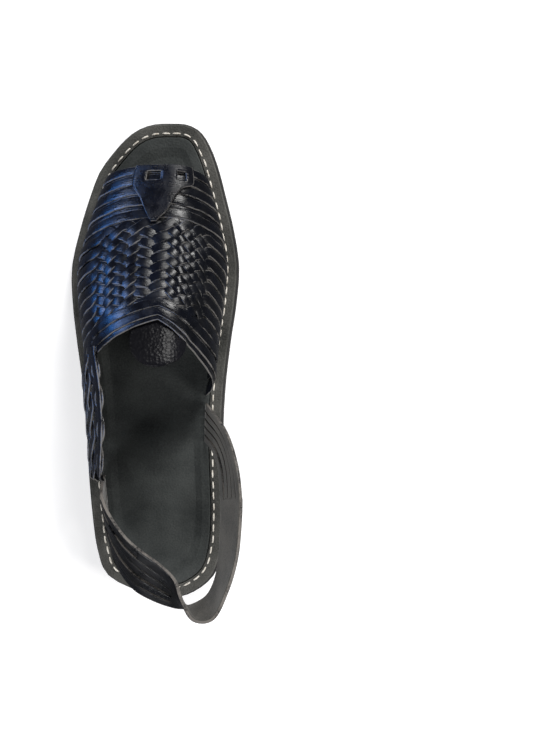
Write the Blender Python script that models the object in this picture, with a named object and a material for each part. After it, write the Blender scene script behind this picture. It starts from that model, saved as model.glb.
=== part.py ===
"""Huarache sandal for the left foot: woven leather upper on a rubber sole.

+Y points to the toe, +X to the inner side of the foot and +Z up. The sandal
stands on z = 0 with its origin at the middle of the heel's resting face.
"""
import math

import bmesh
import bpy
import numpy as np
from mathutils import Vector

# Driving sizes in metres
SOLE_LENGTH = 0.289
BALL_WIDTH = 0.1025
HEEL_REST = 0.036
INSTEP_HEIGHT = 0.062
HEEL_RUBBER = 0.0165
FOREFOOT_RUBBER = 0.0095
TOE_SPRING = 0.0085
ARCH_RISE = 0.0035
MIDSOLE_THICKNESS = 0.0050
INSOLE_THICKNESS = 0.0024
RECESS_DEPTH = 0.0024
FOOTBED_DISH = 0.0012
SEAT_GAP = 0.0003

# Places along the sole as shares of its length
HEEL_STEP_SHARES = (0.22, 0.58)
ARCH_SHARES = (0.27, 0.35, 0.42, 0.52)
TOE_SPRING_SHARE = 0.72

# Sole details
SOLE_STATIONS = 44
RUBBER_TUCK = 0.0010
LEATHER_SETBACK = 0.0007
RECESS_INSET = 0.0080
DISH_MARGIN = 0.0110
TREAD_DEPTH = 0.0022
TREAD_GROOVE = 0.0032
TREAD_PITCH = 0.0105
TREAD_DRAFT = 0.0005
FOREFOOT_GROOVES = 8
HEEL_GROOVES = 4
FOREFOOT_TREAD_START = 0.150
HEEL_TREAD_START = 0.019
SIDE_BEAD = 0.0008
SIDE_BEAD_HEIGHT = 0.0030

# Shading: an edge sharper than the angle shows as a crease
SHARP_ANGLE = 38.0
FINISHES = {
    # piece: base colour, roughness
    "outsole": ((0.012, 0.012, 0.012), 0.85),
    "midsole": ((0.055, 0.055, 0.050), 0.75),
    "insole": ((0.030, 0.032, 0.032), 0.80),
    "upper": ((0.006, 0.007, 0.010), 0.30),
    "toe_piece": ((0.008, 0.008, 0.010), 0.35),
    "instep_tab": ((0.010, 0.010, 0.012), 0.45),
    "heel_strap": ((0.012, 0.013, 0.014), 0.55),
}

# Upper
WALL = 0.0018
STRIP_RELIEF = 0.0012
FOOT_INSET = 0.0112
WALL_BULGE = 0.0045
SECTION_POWER = 2.5
BULGE_RISE_SHARE = 1.15
POINTED_POWER = 1.6
NORMAL_STEP = 0.0015
NORMAL_TURN_SHARE = 0.012
COLUMNS = 24
LATTICE_FROM = 6
LATTICE_TO = 18
SIDE_TURN_SHARE = 0.24
FRONT_ROWS = 10
LATTICE_ROWS = 16
THROAT_ROWS = 4
BAND_ROWS = 12
CREST_SHARE = 0.62
DIAMOND_SHARE = 0.58
GAP_SHARE = 0.16
SLIT_SHARE = 0.22
EDGE_CREST_SHARE = 0.45
EDGE_RELIEF_SHARE = 0.8

# Toe piece
TOE_PIECE_THICKNESS = 0.0016

# Instep tab
TAB_WIDTH = 0.031
TAB_LENGTH = 0.036
TAB_THICKNESS = 0.0026
TAB_ROOT = 0.008
TAB_LIFT = 0.006
TAB_CLEAR = 0.0016
TAB_POWER = 2.6
TAB_END_SHARE = 0.985
TAB_ROWS = 12
TAB_COLUMNS = 8

# Heel strap
STRAP_THICKNESS = 0.0022
STRAP_HEIGHT = 0.052
THONGS = 5
THONG_SHARE = 0.80

# Outline of the sole: along from heel to toe as a share of the length, the
# two edges as shares of the ball width.
OUTLINE = (
    # along, outer edge, inner edge
    (0.000, -0.030, 0.085),
    (0.012, -0.125, 0.205),
    (0.045, -0.302, 0.317),
    (0.100, -0.366, 0.372),
    (0.180, -0.398, 0.388),
    (0.270, -0.420, 0.380),
    (0.360, -0.435, 0.373),
    (0.450, -0.462, 0.386),
    (0.540, -0.500, 0.415),
    (0.620, -0.526, 0.449),
    (0.700, -0.531, 0.466),
    (0.780, -0.481, 0.434),
    (0.850, -0.418, 0.387),
    (0.900, -0.361, 0.351),
    (0.945, -0.264, 0.307),
    (0.985, -0.137, 0.236),
    (1.000, 0.022, 0.120),
)

# Sections of the last: crown height as a share of the instep height, crown
# place as a share of the ball width, bulges as shares of the wall bulge.
SECTIONS = (
    # along, crown height, crown place, outer bulge, inner bulge
    (0.200, 0.94, 0.020, 0.30, 1.00),
    (0.400, 1.06, 0.040, 0.40, 1.30),
    (0.500, 1.06, 0.045, 0.50, 1.20),
    (0.580, 1.00, 0.050, 0.60, 1.00),
    (0.640, 0.90, 0.055, 0.70, 0.90),
    (0.720, 0.73, 0.060, 0.70, 0.90),
    (0.810, 0.56, 0.070, 0.60, 0.70),
    (0.900, 0.43, 0.080, 0.40, 0.50),
)

# Strips of the vamp by row: where a row meets the footbed on each side and
# crosses the crown, as shares of the length, and how pointed it is there.
VAMP_ROWS = (
    # row, outer foot, crown, inner foot, point
    (0, 0.874, 0.894, 0.869, 0.00),
    (6, 0.778, 0.832, 0.786, 0.00),
    (10, 0.709, 0.777, 0.712, 0.05),
    (18, 0.590, 0.693, 0.600, 0.20),
    (26, 0.496, 0.617, 0.496, 0.38),
    (30, 0.453, 0.582, 0.430, 0.45),
)

# Side band behind the vamp on the outer side: how far its foot and its top
# edge lie behind the vamp's last row, and the edge's turn round the last.
BAND = (
    # row, foot drop, edge drop, edge turn
    (30, 0.000, 0.000, 0.240),
    (34, 0.055, 0.080, 0.256),
    (38, 0.118, 0.160, 0.250),
    (42, 0.180, 0.240, 0.212),
)

# Gaps between strips at the sides: row of the gap and the columns it spans.
SIDE_SLITS = (
    # row, first column, last column
    (14, 2, 4),
    (16, 1, 4),
    (18, 2, 5),
    (20, 2, 4),
    (22, 3, 5),
    (24, 2, 4),
    (14, 20, 22),
    (16, 19, 22),
    (18, 20, 22),
    (20, 19, 21),
    (22, 20, 22),
    (24, 20, 22),
)

# Lower and upper edge of the heel strap from the outer thongs round the heel
# to the inner ones: x as shares of the ball width, y of the length and z of
# the strap's height above the footbed.
STRAP_PATH = (
    # low x, low y, low z, high x, high y, high z
    (-0.300, 0.165, 0.00, -0.326, 0.262, 0.00),
    (-0.288, 0.140, 0.14, -0.285, 0.235, 0.72),
    (-0.255, 0.098, 0.22, -0.235, 0.195, 0.80),
    (-0.200, 0.058, 0.27, -0.150, 0.152, 0.78),
    (-0.120, 0.026, 0.31, -0.060, 0.122, 0.74),
    (-0.010, 0.006, 0.34, 0.045, 0.094, 0.72),
    (0.090, -0.004, 0.37, 0.128, 0.064, 0.74),
    (0.170, -0.004, 0.41, 0.172, 0.026, 0.84),
    (0.240, 0.006, 0.45, 0.240, -0.010, 0.92),
    (0.310, 0.026, 0.48, 0.350, -0.006, 0.96),
    (0.355, 0.062, 0.50, 0.430, 0.050, 0.98),
    (0.375, 0.110, 0.52, 0.480, 0.110, 0.99),
    (0.385, 0.165, 0.53, 0.500, 0.170, 1.00),
    (0.385, 0.220, 0.50, 0.505, 0.235, 0.98),
    (0.370, 0.275, 0.38, 0.480, 0.300, 0.86),
    (0.330, 0.310, 0.18, 0.410, 0.360, 0.52),
    (0.276, 0.328, 0.00, 0.280, 0.412, 0.00),
)
OUTER_THONG_ROWS = 6
INNER_THONG_ROWS = 3
STRAP_STATIONS_PER_ROW = 2

# Toe piece over the front strips: its two edges by row, as turns round the
# last, with windows between the bars of the second row.
TOE_PIECE = (
    # row, outer edge, inner edge
    (0.0, 0.360, 0.695),
    (1.0, 0.355, 0.700),
    (3.4, 0.360, 0.685),
    (4.6, 0.375, 0.600),
    (6.4, 0.410, 0.545),
    (8.4, 0.440, 0.508),
    (10.2, 0.466, 0.482),
)
TOE_PIECE_COLUMNS = (0.0, 0.20, 0.40, 0.54, 0.86, 1.0)
TOE_PIECE_WINDOWS = ((1, 1), (1, 3))


def read_column(table, column, at):
    """Value of a table's column at a key, through a smooth curve."""
    keys = [row[0] for row in table]
    values = [row[column] for row in table]
    if at <= keys[0]:
        return values[0]
    if at >= keys[-1]:
        return values[-1]
    k = max(i for i in range(len(keys) - 1) if keys[i] <= at)
    span = keys[k + 1] - keys[k]
    t = (at - keys[k]) / span

    def slope(i):
        low = max(i - 1, 0)
        high = min(i + 1, len(keys) - 1)
        return (values[high] - values[low]) / (keys[high] - keys[low])

    start, end = slope(k) * span, slope(k + 1) * span
    rise = values[k + 1] - values[k]
    return (values[k] + start * t + (3 * rise - 2 * start - end) * t ** 2
            + (start + end - 2 * rise) * t ** 3)


def smooth(t):
    t = min(max(t, 0.0), 1.0)
    return t * t * (3 - 2 * t)


def place(along):
    """World y of a share of the length counted from the heel."""
    return along * SOLE_LENGTH - HEEL_REST


def share(y):
    return (y + HEEL_REST) / SOLE_LENGTH


def turn(along):
    """Station angle, in which the ends of the sole are round."""
    return math.acos(1 - 2 * min(max(along, 0.0), 1.0)) / math.pi


TURNED_OUTLINE = tuple((turn(row[0]), row[1], row[2]) for row in OUTLINE)


def toe_lift(at):
    return TOE_SPRING * max(0.0, (at - TOE_SPRING_SHARE) / (1 - TOE_SPRING_SHARE)) ** 2


def underside(y):
    """Height of the tread's plane above the floor."""
    at = share(y)
    rise_from, rise_to, fall_from, fall_to = ARCH_SHARES
    rise = smooth((at - rise_from) / (rise_to - rise_from))
    fall = smooth((at - fall_from) / (fall_to - fall_from))
    return ARCH_RISE * rise * (1 - fall) + toe_lift(at)


def deck(y):
    """Height of the rubber's upper face."""
    at = share(y)
    start, end = HEEL_STEP_SHARES
    heel = (HEEL_RUBBER - FOREFOOT_RUBBER) * (1 - smooth((at - start) / (end - start)))
    return FOREFOOT_RUBBER + heel + toe_lift(at)


def footbed(y):
    """Height of the insole's edge, on which the upper stands."""
    layers = SEAT_GAP + MIDSOLE_THICKNESS - RECESS_DEPTH + SEAT_GAP + INSOLE_THICKNESS
    return deck(y) + layers


def outline_loop(stations, inset):
    """Closed loop round the sole: inner side to the toe, outer side back."""
    def edge(side):
        return [(read_column(TURNED_OUTLINE, side, turn(at)) * BALL_WIDTH, place(at))
                for at in stations]

    inner, outer = edge(2), edge(1)
    loop = inner + outer[::-1]
    count = len(loop)
    moved = []
    for i, (x, y) in enumerate(loop):
        before, after = loop[i - 1], loop[(i + 1) % count]
        dx, dy = after[0] - before[0], after[1] - before[1]
        length = math.hypot(dx, dy)
        moved.append((x - dy / length * inset, y + dx / length * inset))
    return moved


def plain_stations():
    return [(1 - math.cos(math.pi * i / SOLE_STATIONS)) / 2 for i in range(SOLE_STATIONS + 1)]


def finish_object(name, mesh_data):
    """Object with its own material from a bmesh."""
    colour, roughness = FINISHES[name]
    bmesh.ops.triangulate(mesh_data, faces=mesh_data.faces)
    bmesh.ops.recalc_face_normals(mesh_data, faces=mesh_data.faces)
    mesh = bpy.data.meshes.new(name)
    mesh_data.to_mesh(mesh)
    mesh_data.free()
    mesh.shade_smooth()
    mesh.set_sharp_from_angle(angle=math.radians(SHARP_ANGLE))
    obj = bpy.data.objects.new(name, mesh)
    bpy.context.scene.collection.objects.link(obj)
    material = bpy.data.materials.new(name + "_finish")
    material.use_nodes = True
    shader = material.node_tree.nodes["Principled BSDF"]
    shader.inputs["Base Color"].default_value = (*colour, 1.0)
    shader.inputs["Roughness"].default_value = roughness
    mesh.materials.append(material)
    return obj


def slab(name, rings):
    """Solid through closed rings, capped by strips from side to side."""
    data = bmesh.new()
    layers = [[data.verts.new(point) for point in ring] for ring in rings]
    count = len(layers[0])
    for low, high in zip(layers, layers[1:]):
        for i in range(count):
            j = (i + 1) % count
            data.faces.new((low[i], low[j], high[j], high[i]))
    half = count // 2
    for ring in (layers[0], layers[-1]):
        for i in range(half - 1):
            data.faces.new((ring[i], ring[i + 1], ring[count - 2 - i], ring[count - 1 - i]))
    return finish_object(name, data)


def ring(stations, inset, height):
    return [(x, y, height(y)) for x, y in outline_loop(stations, inset)]


def dish_ring(stations, inset, margin, depth):
    """Ring drawn in towards the sole's middle line, below the footbed's edge."""
    loop = outline_loop(stations, inset)
    middle_y = place(0.5)
    narrowed = 1 - margin / (BALL_WIDTH / 2 - inset)
    shortened = 1 - margin / (SOLE_LENGTH / 2 - inset)
    points = []
    for i, (x, y) in enumerate(loop):
        middle_x = (x + loop[-1 - i][0]) / 2
        y = middle_y + (y - middle_y) * shortened
        points.append((middle_x + (x - middle_x) * narrowed, y, footbed(y) - depth))
    return points


def tread_grooves():
    starts = [FOREFOOT_TREAD_START + i * TREAD_PITCH for i in range(FOREFOOT_GROOVES)]
    starts += [HEEL_TREAD_START + i * TREAD_PITCH for i in range(HEEL_GROOVES)
               if i != HEEL_GROOVES // 2]
    return starts


def make_outsole():
    """Rubber slab with cross grooves, a bead at its upper edge and toe spring."""
    grooves = tread_grooves()
    stations, depths = [], []
    for at in plain_stations():
        along = at * SOLE_LENGTH
        if all(along < start - TREAD_DRAFT or along > start + TREAD_GROOVE + TREAD_DRAFT
               for start in grooves):
            stations.append(at)
            depths.append(0.0)
    for start in grooves:
        for offset, depth in ((0, 0), (TREAD_DRAFT, TREAD_DEPTH),
                              (TREAD_GROOVE - TREAD_DRAFT, TREAD_DEPTH), (TREAD_GROOVE, 0)):
            stations.append((start + offset) / SOLE_LENGTH)
            depths.append(depth)
    order = sorted(range(len(stations)), key=lambda i: stations[i])
    stations = [stations[i] for i in order]
    depths = [depths[i] for i in order]
    both = depths + depths[::-1]
    bottom = [(x, y, underside(y) + depth)
              for (x, y), depth in zip(outline_loop(stations, RUBBER_TUCK), both)]
    side = 2 * TREAD_DEPTH
    slab("outsole", [
        bottom,
        ring(stations, 0.0, lambda y: underside(y) + side),
        ring(stations, 0.0, lambda y: deck(y) - SIDE_BEAD_HEIGHT),
        ring(stations, -SIDE_BEAD, lambda y: deck(y) - SIDE_BEAD_HEIGHT + SIDE_BEAD),
        ring(stations, -SIDE_BEAD, lambda y: deck(y) - SIDE_BEAD),
        ring(stations, 0.0, deck),
    ])


def make_midsole():
    """Leather layer with a shallow recess that takes the insole."""
    stations = plain_stations()
    top = SEAT_GAP + MIDSOLE_THICKNESS
    edge = LEATHER_SETBACK
    slab("midsole", [
        ring(stations, edge, lambda y: deck(y) + SEAT_GAP),
        ring(stations, edge, lambda y: deck(y) + top - SIDE_BEAD),
        ring(stations, edge + SIDE_BEAD, lambda y: deck(y) + top),
        ring(stations, RECESS_INSET - SEAT_GAP, lambda y: deck(y) + top),
        ring(stations, RECESS_INSET, lambda y: deck(y) + top - RECESS_DEPTH),
    ])


def make_insole():
    """Footbed leather, dished inside its edge."""
    stations = plain_stations()
    inset = RECESS_INSET + SEAT_GAP
    bottom = SEAT_GAP + MIDSOLE_THICKNESS - RECESS_DEPTH + SEAT_GAP
    slab("insole", [
        ring(stations, inset, lambda y: deck(y) + bottom),
        ring(stations, inset, lambda y: footbed(y) - SIDE_BEAD),
        ring(stations, inset + SIDE_BEAD, footbed),
        dish_ring(stations, inset + SIDE_BEAD, DISH_MARGIN / 2, 0.0),
        dish_ring(stations, inset + SIDE_BEAD, DISH_MARGIN, FOOTBED_DISH),
    ])


FOOT_LOOP = outline_loop(plain_stations(), FOOT_INSET)
INNER_FOOT = FOOT_LOOP[:SOLE_STATIONS + 1]
OUTER_FOOT = FOOT_LOOP[SOLE_STATIONS + 1:][::-1]


def foot_x(y, line):
    return float(np.interp(y, [p[1] for p in line], [p[0] for p in line]))


def last_skin(y, w):
    """Point of the last at a station; w turns from the outer to the inner foot."""
    at = share(y)
    height = read_column(SECTIONS, 1, at) * INSTEP_HEIGHT
    crown = read_column(SECTIONS, 2, at) * BALL_WIDTH
    outer = w < 0.5
    foot = foot_x(y, OUTER_FOOT if outer else INNER_FOOT)
    bulge = read_column(SECTIONS, 3 if outer else 4, at) * WALL_BULGE
    angle = math.pi * min(max(w, 0.0), 1.0)
    across = abs(math.cos(angle)) ** (2 / SECTION_POWER)
    up = max(math.sin(angle), 0.0) ** (2 / SECTION_POWER)
    x = crown + (foot - crown) * across
    side = -1 if outer else 1
    x += side * bulge * math.sin(math.pi * min(up * BULGE_RISE_SHARE, 1.0)) * across
    return Vector((x, y, footbed(y) + SEAT_GAP + height * up))


def last_point(y, w, offset):
    """Point at a distance outside the last."""
    step = NORMAL_TURN_SHARE
    middle = min(max(w, 2 * step), 1 - 2 * step)
    along = last_skin(y + NORMAL_STEP, middle) - last_skin(y - NORMAL_STEP, middle)
    across = last_skin(y, middle + step) - last_skin(y, middle - step)
    normal = across.cross(along).normalized()
    if normal.dot(last_skin(y, middle) - Vector((0, y, footbed(y)))) < 0:
        normal = -normal
    if middle != w:
        normal.z = 0
        normal.normalize()
    return last_skin(y, w) + normal * offset


def row_place(i, w):
    """World y of a row of strips at a turn round the last."""
    row = min(i, FRONT_ROWS + LATTICE_ROWS + THROAT_ROWS)
    outer, crown, inner, point = (read_column(VAMP_ROWS, c, row) for c in (1, 2, 3, 4))
    foot = outer if w < 0.5 else inner
    rise = 1 - abs(1 - 2 * w)
    blend = (1 - point) * math.sin(math.pi / 2 * rise) + point * rise ** POINTED_POWER
    return place(foot + (crown - foot) * blend)


def column_turn(j):
    """Turn round the last of a column: wide columns at the sides, narrow on top."""
    lattice = LATTICE_TO - LATTICE_FROM
    if j < LATTICE_FROM:
        return SIDE_TURN_SHARE * j / LATTICE_FROM
    if j > LATTICE_TO:
        return 1 - SIDE_TURN_SHARE * (COLUMNS - j) / (COLUMNS - LATTICE_TO)
    return SIDE_TURN_SHARE + (1 - 2 * SIDE_TURN_SHARE) * (j - LATTICE_FROM) / lattice


def upper_point(i, j, offset):
    """Point of the upper at a row and column of its strip grid."""
    last_row = VAMP_ROWS[-1][0]
    if i <= last_row:
        w = column_turn(j)
        return last_point(row_place(i, w), w, offset)
    across = j / LATTICE_FROM
    w = across * read_column(BAND, 3, i)
    drop = (1 - across) * read_column(BAND, 1, i) + across * read_column(BAND, 2, i)
    return last_point(row_place(last_row, w) - drop * SOLE_LENGTH, w, offset)


class StripWall:
    """Closed wall whose outer face is raised strip by strip."""

    def __init__(self):
        self.data = bmesh.new()
        self.verts = {}

    def vert(self, key, i, j, offset):
        if key not in self.verts:
            self.verts[key] = self.data.verts.new(upper_point(i, j, offset))
        return self.verts[key]

    def slit(self, i, j):
        return any(i == row and first < j < last for row, first, last in SIDE_SLITS)

    def valley(self, i, j, side, inner=False):
        """Vertex in the groove at an even row, seen from the strip on one side."""
        shift = side * SLIT_SHARE if self.slit(i, j) else 0.0
        key = ("n" if inner else "g", i, j, side if shift else 0)
        return self.vert(key, i + shift, j, 0.0 if inner else WALL)

    def crest(self, i, j, side):
        return self.vert(("c", i, j, side), i + side * CREST_SHARE, j, WALL + STRIP_RELIEF)

    def face(self, verts):
        self.data.faces.new(verts)

    def straight(self, rows, columns):
        """Strips that run side by side along the rows."""
        for i in range(rows[0] + 1, rows[1], 2):
            for j in range(*columns):
                lines = [[self.valley(i - 1, k, 1), self.crest(i, k, -1),
                          self.crest(i, k, 1), self.valley(i + 1, k, -1)]
                         for k in (j, j + 1)]
                for k in range(3):
                    self.face((lines[0][k], lines[0][k + 1], lines[1][k + 1], lines[1][k]))
                self.face((self.valley(i - 1, j, 1, True), self.valley(i - 1, j + 1, 1, True),
                           self.valley(i + 1, j + 1, -1, True), self.valley(i + 1, j, -1, True)))

    def slit_rims(self):
        for row, first, last in SIDE_SLITS:
            for j in range(first, last):
                for side in (-1, 1):
                    self.face((self.valley(row, j, side), self.valley(row, j + 1, side),
                               self.valley(row, j + 1, side, True),
                               self.valley(row, j, side, True)))

    def corner(self, ci, cj, i, j, region, inner):
        """One vertex of a strip crossing's corner, or two where a gap is cut."""
        i0, i1, j0, j1 = region
        if not (i0 < ci < i1 and j0 < cj < j1):
            return [self.valley(ci, cj, 0, inner)]
        found = []
        if ci != i:
            steps = [(i - ci, -1), (i - ci, 1)]
            if ci < i:
                steps.reverse()
        else:
            steps = [(1, j - cj), (-1, j - cj)]
            if cj < j:
                steps.reverse()
        for di, dj in steps:
            key = ("hn" if inner else "h", ci, cj, di, dj)
            found.append(self.vert(key, ci + di * GAP_SHARE, cj + dj * GAP_SHARE,
                                   0.0 if inner else WALL))
        return found

    def lattice(self, region):
        """Crossings of two sets of strips, each a raised diamond."""
        i0, i1, j0, j1 = region
        for i in range(i0, i1 + 1):
            for j in range(j0, j1 + 1):
                if (i + j) % 2:
                    self.crossing(i, j, region)
                elif i0 < i < i1 and j0 < j < j1:
                    self.gap_rim(i, j)

    def gap_rim(self, i, j):
        turns = ((1, 1), (1, -1), (-1, -1), (-1, 1))
        for k, (di, dj) in enumerate(turns):
            ei, ej = turns[(k + 1) % 4]
            self.face((self.verts_or_new("h", i, j, di, dj), self.verts_or_new("h", i, j, ei, ej),
                       self.verts_or_new("hn", i, j, ei, ej),
                       self.verts_or_new("hn", i, j, di, dj)))

    def verts_or_new(self, kind, i, j, di, dj):
        return self.vert((kind, i, j, di, dj), i + di * GAP_SHARE, j + dj * GAP_SHARE,
                         0.0 if kind == "hn" else WALL)

    def crossing(self, i, j, region):
        i0, i1, j0, j1 = region
        corners = [(i + 1, j), (i, j + 1), (i - 1, j), (i, j - 1)]
        inside = [i0 <= ci <= i1 and j0 <= cj <= j1 for ci, cj in corners]
        tops = []
        loop = []
        inner_loop = []
        for (ci, cj), present in zip(corners, inside):
            if present:
                outer = self.corner(ci, cj, i, j, region, False)
                loop.append(outer)
                inner_loop += self.corner(ci, cj, i, j, region, True)
            else:
                loop.append(None)
        if i in (i0, i1):
            self.edge_crossing(i, j, loop, region)
            return
        for k, (ci, cj) in enumerate(corners):
            if not all(inside) and ci != i:
                tops.append(self.crest(i, j, ci - i))
            elif loop[k] is None:
                tops.append(None)
            else:
                key = ("t", i, j, k)
                tops.append(self.vert(key, i + (ci - i) * DIAMOND_SHARE,
                                      j + (cj - j) * DIAMOND_SHARE, WALL + STRIP_RELIEF))
        self.face([top for top in tops if top is not None])
        self.face(inner_loop)
        for k in range(4):
            n = (k + 1) % 4
            if loop[k] is not None and loop[n] is not None:
                self.face((loop[k][-1], loop[n][0], tops[n], tops[k]))
            if loop[k] is not None and len(loop[k]) == 2:
                self.face((loop[k][0], loop[k][1], tops[k]))

    def edge_crossing(self, i, j, loop, region):
        """Half crossing on the first or last row of a lattice."""
        away = 1 if i == region[0] else -1
        top = self.vert(("e", i, j, away), i + away * EDGE_CREST_SHARE, j,
                        WALL + STRIP_RELIEF * EDGE_RELIEF_SHARE)
        far = loop[0] if away > 0 else loop[2]
        right, left = loop[1][0], loop[3][0]
        middle = self.valley(i, j, 0)
        chain = [left] + (far if away > 0 else far[::-1]) + [right, middle]
        for k, vert in enumerate(chain):
            self.face((vert, chain[(k + 1) % len(chain)], top))
        inner_far = self.corner(i + away, j, i, j, region, True)
        inner = [self.valley(i, j - 1, 0, True)]
        inner += inner_far if away > 0 else inner_far[::-1]
        inner += [self.valley(i, j + 1, 0, True), self.valley(i, j, 0, True)]
        self.face(inner)

    def column_rim(self, rows, j):
        for i in range(rows[0] + 1, rows[1], 2):
            self.face((self.valley(i - 1, j, 1), self.crest(i, j, -1), self.crest(i, j, 1),
                       self.valley(i + 1, j, -1), self.valley(i + 1, j, -1, True),
                       self.valley(i - 1, j, 1, True)))

    def row_rim(self, i, columns):
        for j in range(*columns):
            self.face((self.valley(i, j, 0), self.valley(i, j + 1, 0),
                       self.valley(i, j + 1, 0, True), self.valley(i, j, 0, True)))


def make_upper():
    """Vamp and outer side band as one wall with its strips raised."""
    wall = StripWall()
    front = FRONT_ROWS
    back = FRONT_ROWS + LATTICE_ROWS
    throat = back + THROAT_ROWS
    end = throat + BAND_ROWS
    wall.straight((0, front), (0, COLUMNS))
    wall.straight((front, back), (0, LATTICE_FROM))
    wall.straight((front, back), (LATTICE_TO, COLUMNS))
    wall.straight((back, throat), (0, COLUMNS))
    wall.lattice((front, back, LATTICE_FROM, LATTICE_TO))
    wall.lattice((throat, end, 0, LATTICE_FROM))
    wall.slit_rims()
    wall.column_rim((0, end), 0)
    wall.column_rim((0, throat), COLUMNS)
    wall.column_rim((throat, end), LATTICE_FROM)
    wall.row_rim(0, (0, COLUMNS))
    wall.row_rim(throat, (LATTICE_FROM, COLUMNS))
    wall.row_rim(end, (0, LATTICE_FROM))
    finish_object("upper", wall.data)


def sheet(name, outside, inside, missing=()):
    """Solid from two grids of points, without the cells that are missing."""
    data = bmesh.new()
    faces = [[[data.verts.new(point) for point in row] for row in grid]
             for grid in (outside, inside)]
    rows, columns = len(outside) - 1, len(outside[0]) - 1

    def present(i, j):
        return 0 <= i < rows and 0 <= j < columns and (i, j) not in missing

    for i in range(rows):
        for j in range(columns):
            if not present(i, j):
                continue
            corners = ((i, j), (i, j + 1), (i + 1, j + 1), (i + 1, j))
            for grid in faces:
                data.faces.new([grid[a][b] for a, b in corners])
            beyond = ((i - 1, j), (i, j + 1), (i + 1, j), (i, j - 1))
            for k, cell in enumerate(beyond):
                if not present(*cell):
                    a, b = corners[k], corners[(k + 1) % 4]
                    data.faces.new((faces[0][a[0]][a[1]], faces[0][b[0]][b[1]],
                                    faces[1][b[0]][b[1]], faces[1][a[0]][a[1]]))
    loose = [vert for vert in data.verts if not vert.link_faces]
    bmesh.ops.delete(data, geom=loose, context="VERTS")
    return finish_object(name, data)


def make_toe_piece():
    """Flat leather over the front strips with two windows and a tapering stem."""
    base = WALL + STRIP_RELIEF + 2 * SEAT_GAP
    grids = []
    for offset in (base + TOE_PIECE_THICKNESS, base):
        grid = []
        for row, outer, inner in TOE_PIECE:
            turns = [outer + (inner - outer) * share_across for share_across in TOE_PIECE_COLUMNS]
            grid.append([last_point(row_place(row, w), w, offset) for w in turns])
        grids.append(grid)
    sheet("toe_piece", grids[0], grids[1], TOE_PIECE_WINDOWS)


def turn_at(x, y):
    """Turn round the last at which it has a given x near the crown."""
    at = share(y)
    crown = read_column(SECTIONS, 2, at) * BALL_WIDTH
    foot = foot_x(y, OUTER_FOOT if x < crown else INNER_FOOT)
    across = abs((x - crown) / (foot - crown)) ** (SECTION_POWER / 2)
    side = -1 if x < crown else 1
    return 0.5 + side * math.asin(min(across, 1.0)) / math.pi


def make_instep_tab():
    """Rounded tab seated under the throat, standing back over the opening."""
    throat_y = row_place(VAMP_ROWS[-1][0], 0.5)
    rows, columns = TAB_ROWS, TAB_COLUMNS
    grids = []
    for face in (0, 1):
        grid = []
        for i in range(rows + 1):
            t = -math.cos(math.pi * i / rows)
            t = max(min(t, TAB_END_SHARE), -TAB_END_SHARE)
            y = throat_y + TAB_ROOT - TAB_LENGTH * (1 + t) / 2
            half = TAB_WIDTH / 2 * (1 - abs(t) ** TAB_POWER) ** (1 / TAB_POWER)
            crown = read_column(SECTIONS, 2, share(y)) * BALL_WIDTH
            line = []
            for j in range(columns + 1):
                x = crown + half * (2 * j / columns - 1)
                w = turn_at(x, y)
                behind = row_place(VAMP_ROWS[-1][0], w) - y
                lift = TAB_LIFT * smooth((behind - TAB_CLEAR) / (TAB_LENGTH - TAB_ROOT))
                offset = lift - TAB_CLEAR / 2 - (TAB_THICKNESS if face else 0.0)
                line.append(last_point(y, w, offset))
            grid.append(line)
        grids.append(grid)
    sheet("instep_tab", grids[0], grids[1])


def strap_edges(at):
    """Lower and upper edge point of the heel strap at a row of its path."""
    keyed = [(k, *row) for k, row in enumerate(STRAP_PATH)]
    low_x, low_y, low_z, high_x, high_y, high_z = (read_column(keyed, c, at) for c in range(1, 7))
    clear = 3 * SEAT_GAP
    points = []
    for x, y, z in ((low_x, low_y, low_z), (high_x, high_y, high_z)):
        at_y = place(y)
        points.append(Vector((x * BALL_WIDTH, at_y,
                              footbed(max(at_y, -HEEL_REST)) + clear + z * STRAP_HEIGHT)))
    return points


def make_heel_strap():
    """Sling round the heel, solid at the back and slit into thongs at its ends."""
    last = len(STRAP_PATH) - 1
    stations = last * STRAP_STATIONS_PER_ROW
    lines = []
    for k in range(THONGS):
        margin = (1 - THONG_SHARE) / 2
        lines += [(k + margin) / THONGS, (k + 1 - margin) / THONGS]
    edges = [strap_edges(i / STRAP_STATIONS_PER_ROW) for i in range(stations + 1)]
    grids = []
    for side in (1, -1):
        grid = []
        for i, (low, high) in enumerate(edges):
            before, after = edges[max(i - 1, 0)], edges[min(i + 1, stations)]
            row = []
            for f in lines:
                along = after[0].lerp(after[1], f) - before[0].lerp(before[1], f)
                normal = (high - low).cross(along).normalized()
                row.append(low.lerp(high, f) + normal * side * STRAP_THICKNESS / 2)
            grid.append(row)
        grids.append(grid)
    outer_end = OUTER_THONG_ROWS * STRAP_STATIONS_PER_ROW
    inner_start = (last - INNER_THONG_ROWS) * STRAP_STATIONS_PER_ROW
    missing = {(i, j) for i in range(stations) for j in range(1, len(lines) - 1, 2)
               if i < outer_end or i >= inner_start}
    sheet("heel_strap", grids[0], grids[1], missing)


def main():
    for obj in list(bpy.data.objects):
        bpy.data.objects.remove(obj, do_unlink=True)
    make_outsole()
    make_midsole()
    make_insole()
    make_upper()
    make_toe_piece()
    make_instep_tab()
    make_heel_strap()


main()
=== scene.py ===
"""Looks of a left huarache sandal: woven strips, stitches, leather and rubber."""
import math
import random

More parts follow.
